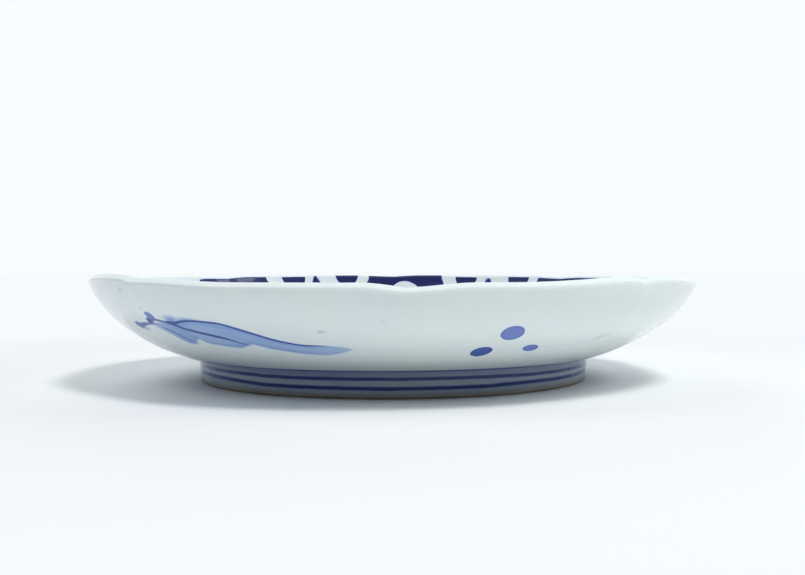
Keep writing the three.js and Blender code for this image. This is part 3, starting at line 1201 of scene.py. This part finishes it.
def windowed_block(place, lobe):
    """A dark block below a notch, with a small blossom in its round white window."""
    window_aside = arc_length(lobe["from_notch"], place["Out"])
    window_below = lobe["down"] - drawn_curve(place["Turn"], WINDOW_DOWN)
    window_reach = hypotenuse(window_aside, window_below)
    block_inside = drawn_curve(lobe["down"], BLOCK_WIDTHS) - abs(lobe["aside"])
    petals = (window_aside.math("ARCTAN2", window_below * -1.0) * BLOSSOM_PETALS).math("COSINE")
    blossom_inside = petals * BLOSSOM_WAVE + BLOSSOM_RADIUS - window_reach
    return strongest(
        filled(block_inside, MARK_SOFTNESS) * filled(window_reach - WINDOW_RADIUS, MARK_SOFTNESS),
        filled(blossom_inside, softness=0.8, amount=0.3),
        line(blossom_inside, half_width=0.35, softness=0.3, amount=0.75),
        filled(BLOSSOM_HEART - window_reach, softness=0.4, amount=0.8),
    )


def dark_tab(lobe, middle, half):
    """A dark half round that hangs from the white lip."""
    tab_aside = (lobe["aside"] - middle) / half
    tab_below = lobe["below_white"].math("MAXIMUM", 0.0) / TAB_DEPTH
    return filled(1.0 - hypotenuse(tab_aside, tab_below), softness=0.08)


print("Tabs on each lobe:", len(TABS))

# %% Leaves
LEAF_WIDTHS = [(-0.4, 0.8), (0.3, 0.85), (2.6, 1.5), (8.0, 3.4), (17.0, 6.4), (25.0, 5.2), (35.0, 0.0)]
BLADE = [(9.0, 14.5, 0.0), (14.0, 15.0, 0.9), (22.0, 13.0, 1.3), (30.0, 8.5, 0.9), (37.0, 2.0, 0.0)]
DARK_TIP = (6.5, 4.5)
OUTLINE_START = (2.0, 4.0)
WATERY_SWAY = 0.8
WATERY_GRAIN = 0.4


def watery(hand):
    """How full of cobalt a pale wash is, about 1 on average."""
    return hand["Sway"] * WATERY_SWAY + (hand["Grain"] - NOISE_MIDDLE) * WATERY_GRAIN + 1.0


def tipped_leaf(lobe, hand):
    """A pale leaf with a dark tip, an outline, a midrib and a thin blade at each side."""
    leaf_inside = drawn_curve(lobe["below_white"], LEAF_WIDTHS) - lobe["beside_tip"]
    body = filled(leaf_inside, softness=0.4)
    outline = line(leaf_inside, half_width=0.5, softness=0.35, amount=0.8)
    midrib = line(lobe["beside_tip"], half_width=0.4, softness=0.3, amount=0.75)
    return strongest(
        filled(leaf_inside, softness=0.6, amount=0.32) * watery(hand),
        body * soft_step(lobe["down"], *DARK_TIP),
        outline * soft_step(lobe["down"], *OUTLINE_START),
        midrib * body,
        stroke(lobe["down"], lobe["beside_tip"], BLADE, softness=0.5, amount=0.7),
    )


print("A leaf is", LEAF_WIDTHS[-1][0], "mm long")

# %% Floor of the dish
BAND_OUTER = 60.0
BAND_INNER = 50.0
HEART_RADIUS = 10.0
RINGS = ((71.5, 0.9), (68.6, 0.45), (BAND_OUTER, 0.8), (BAND_INNER, 0.5), (HEART_RADIUS, 0.5))
RING_DRIFT = 0.3
BEAD_COUNT = 32
BEAD_MIDDLE = (BAND_OUTER + BAND_INNER) / 2
BEAD_RADIUS = 3.1
PETAL_REACH = 40.0
PETAL_COUNT = 8
PETAL_WAVE = 7.0
PETAL_SHADE = (6.0, 44.0)
SEAM_START = (9.6, 10.2)


def beaded_band(place):
    """A dark band with a row of white beads left open in it."""
    out = place["Out"]
    bead_turn = wrapped(place["Turn"], HALF_TURN / BEAD_COUNT)
    bead_reach = hypotenuse(arc_length(bead_turn, out), out - BEAD_MIDDLE)
    band = filled(BAND_OUTER - out, MARK_SOFTNESS) * filled(out - BAND_INNER, MARK_SOFTNESS)
    return band * filled(bead_reach - BEAD_RADIUS, MARK_SOFTNESS, amount=0.9)


def floor_flower(place, hand):
    """A flower of pale petals, darker outwards, with lines between them and a round heart."""
    out = place["Out"]
    bulge = abs((place["Turn"] * math.radians(PETAL_COUNT / 2)).math("COSINE"))
    petal_inside = bulge * PETAL_WAVE + (PETAL_REACH - PETAL_WAVE) - out
    seam_turn = wrapped(place["Turn"] + HALF_TURN / PETAL_COUNT, HALF_TURN / PETAL_COUNT)
    seam = line(arc_length(seam_turn, out), half_width=0.45, softness=0.3, amount=0.75)
    return strongest(
        filled(petal_inside, softness=0.8, amount=0.42) * soft_step(out, *PETAL_SHADE) * watery(hand),
        line(petal_inside, half_width=0.6, softness=0.4, amount=0.8),
        seam * filled(petal_inside, softness=0.4) * soft_step(out, *SEAM_START),
        filled(HEART_RADIUS - out, softness=0.6, amount=0.62) * watery(hand),
    )


print("Rings, beads and petals:", len(RINGS), BEAD_COUNT, PETAL_COUNT)

# %% Paint the inside
LIP_EDGE = (-0.2, 0.2)
WALL_PAINT_FOOT = 38.0
FULL_BRUSH = 1.04
BRUSH_CHANGE = 0.2
WHITER_GLAZE = (10.0, 7.0)
INSIDE_PALENESS = 0.95


def inside_painting(place, hand):
    """The amount of cobalt on the inside of the wall and on the floor."""
    lobe = place_on_lobe(place, hand)
    tabs = [dark_tab(lobe, middle, half) for middle, half in TABS]
    marks = strongest(windowed_block(place, lobe), *tabs, tipped_leaf(lobe, hand))
    below_lip = soft_step(lobe["below_white"], *LIP_EDGE)
    on_wall = filled(WALL_PAINT_FOOT - lobe["down"], softness=0.6)
    full_brush = hand["Sway"] * BRUSH_CHANGE + FULL_BRUSH

    drifting = place["Out"] + hand["Drift"] * RING_DRIFT
    rings = [line(drifting - radius, half, softness=0.3, amount=0.85) for radius, half in RINGS]
    wall_paint = marks * below_lip * on_wall * full_brush
    return strongest(wall_paint, *rings, beaded_band(place), floor_flower(place, hand))


def inside_thinning(place):
    """How thin the glaze lies on the upper part of the inside."""
    return soft_step(place["Section"] - LIP_TOP, *WHITER_GLAZE) * INSIDE_PALENESS


painted_inside = glazed_material("painted_inside", inside_painting, whitening=inside_thinning)
print("Inside nodes:", len(painted_inside.node_tree.nodes))

# %% [markdown]
# The base
#
# Under the dish, inside the foot ring, the glaze is plain apart from one thin ring, which the painter drew
# while the dish turned on the wheel. It could be a groove in the mesh, but it is only paint, so it is one
# more rule.

# %% Paint the base
BASE_RING_RADIUS = 46.0
BASE_RING_HALF = 0.55
BASE_RING_DRIFT = 0.5


def base_painting(place, hand):
    """The amount of cobalt under the dish."""
    from_ring = place["Out"] - BASE_RING_RADIUS + hand["Drift"] * BASE_RING_DRIFT
    return line(from_ring, BASE_RING_HALF, softness=0.35, amount=0.75)


ringed_base = glazed_material("ringed_base", base_painting)
print("Base nodes:", len(ringed_base.node_tree.nodes))

# %% [markdown]
# The foot ring's finish
#
# Two cobalt bands run round the outside of the foot. The foot lies in the shadow of the dish, so its whole
# glaze is tinted darker as painted shade, and the corner above the bands is painted greyer and bluer still. The
# glaze was wiped off the edge that stands in the kiln, so the clay is bare there, with a brown flash where the
# glaze ends. A second material on the edge's faces would end in a hard line, so the bare clay is mixed over
# the glaze by height instead: its colour and its roughness.

# %% Paint the foot ring
BANDS = (
    [(-180, 6.1), (-80, 6.3), (-45, 6.15), (-22, 6), (0, 6.1), (25, 6.05), (45, 5.8), (90, 5.9), (180, 6.1)],
    [(-180, 3.1), (-80, 4), (-48, 3.8), (-30, 3.25), (0, 3.2), (22, 3.2), (42, 3.45), (90, 3.4), (180, 3.1)],
)
BAND_HALF = 0.85
BAND_SOFTNESS = 0.7
BAND_AMOUNT = 0.78
BAND_GRAIN = 0.2
BAND_DRIFT = 0.4
OUTER_FACE = (FOOT_RADIUS - 2.6, FOOT_RADIUS - 2.2)
# Painted shade: from these heights up, the corner under the dish is tinted with cobalt and grey.
CORNER_EDGE = (5.8, 7.0)
CORNER_SHADE_COBALT = 0.2
CORNER_SHADE_GREY = 0.6
# Painted shade: this tint darkens the glaze of the whole foot, which lies in the shadow of the dish.
FOOT_SHADE_TINT = (0.445, 0.48, 0.58, 1)


def foot_painting(place, hand):
    """The amount of cobalt on the foot ring, with a faint cobalt tint in the corner as painted shade."""
    wavering = place["Height"] + hand["Drift"] * BAND_DRIFT
    bands = [line(wavering - drawn_curve(place["Turn"], band), BAND_HALF, BAND_SOFTNESS) for band in BANDS]
    banded = strongest(*bands) * (hand["Grain"] * BAND_GRAIN + BAND_AMOUNT)
    # Painted shade in the corner, as a faint cobalt tint.
    corner = soft_step(place["Height"], *CORNER_EDGE) * CORNER_SHADE_COBALT
    return strongest(corner, banded) * soft_step(place["Out"], *OUTER_FACE)


def foot_corner_shade(place):
    """How far painted shade greys the glaze in the corner under the dish, where little light reaches."""
    return soft_step(place["Height"], *CORNER_EDGE) * CORNER_SHADE_GREY


banded_foot = glazed_material("banded_foot", foot_painting, foot_corner_shade, shade_tint=FOOT_SHADE_TINT)
print("Cobalt bands:", len(BANDS))

# %% Bare the foot's edge
BARE_HEIGHT = 0.95
BARE_SOFTNESS = 0.1
FLASH_HEIGHT = 2.2
FLASH_STRENGTH = 0.45
EDGE_SWAY = 0.4
CLAY = (0.47, 0.44, 0.36, 1)
FLASH = (0.23, 0.195, 0.145, 1)
CLAY_GRAIN_LENGTH = 0.5
CLAY_ROUGHNESS = 0.7

foot_tree = banded_foot.node_tree
foot_shader = foot_tree.nodes["Principled BSDF"]
foot_coordinates = foot_tree.nodes.new("ShaderNodeTexCoord")
foot_place = placed(foot_tree, dish_place, Object=Field(foot_tree, foot_coordinates.outputs["Object"]))
foot_hand = placed(foot_tree, brush_hand, Position=foot_place["Position"])
edge_height = foot_place["Height"] + foot_hand["Sway"] * EDGE_SWAY
bare = soft_step(edge_height, BARE_HEIGHT + BARE_SOFTNESS, BARE_HEIGHT - BARE_SOFTNESS)
flash = soft_step(edge_height, FLASH_HEIGHT, BARE_HEIGHT) * FLASH_STRENGTH
clay_grain = noise_field(foot_place["Position"], CLAY_GRAIN_LENGTH, detail=3.0)
glaze_color = Field(foot_tree, foot_shader.inputs["Base Color"].links[0].from_socket)
glaze_roughness = Field(foot_tree, foot_shader.inputs["Roughness"].links[0].from_socket)
flashed = mixed_color(foot_tree, flash, glaze_color, FLASH)
clay_color = mixed_color(foot_tree, clay_grain, FLASH, CLAY)
feed(foot_shader.inputs["Base Color"], mixed_color(foot_tree, bare, flashed, clay_color))
feed(foot_shader.inputs["Roughness"], glaze_roughness + bare * CLAY_ROUGHNESS)
print("Foot nodes:", len(foot_tree.nodes))

# %% [markdown]
# Dressing the frame
#
# Each piece now gets its finishes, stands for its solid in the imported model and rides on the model's only
# body. The dish's finishes go in the order in which its faces were sorted. The solids could be dressed
# themselves, but their facets would show on a glossy wall.

# %% Dress the frame
for finish in (painted_outside, painted_inside, ringed_base):
    dish.data.materials.append(finish)
foot_ring.data.materials.append(banded_foot)

for piece, node, slot in ((dish, "dish", "painted_glaze"), (foot_ring, "foot_ring", "foot_glaze")):
    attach(piece, "root")
    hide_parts(node)
    print(piece.name, "stands for", node)
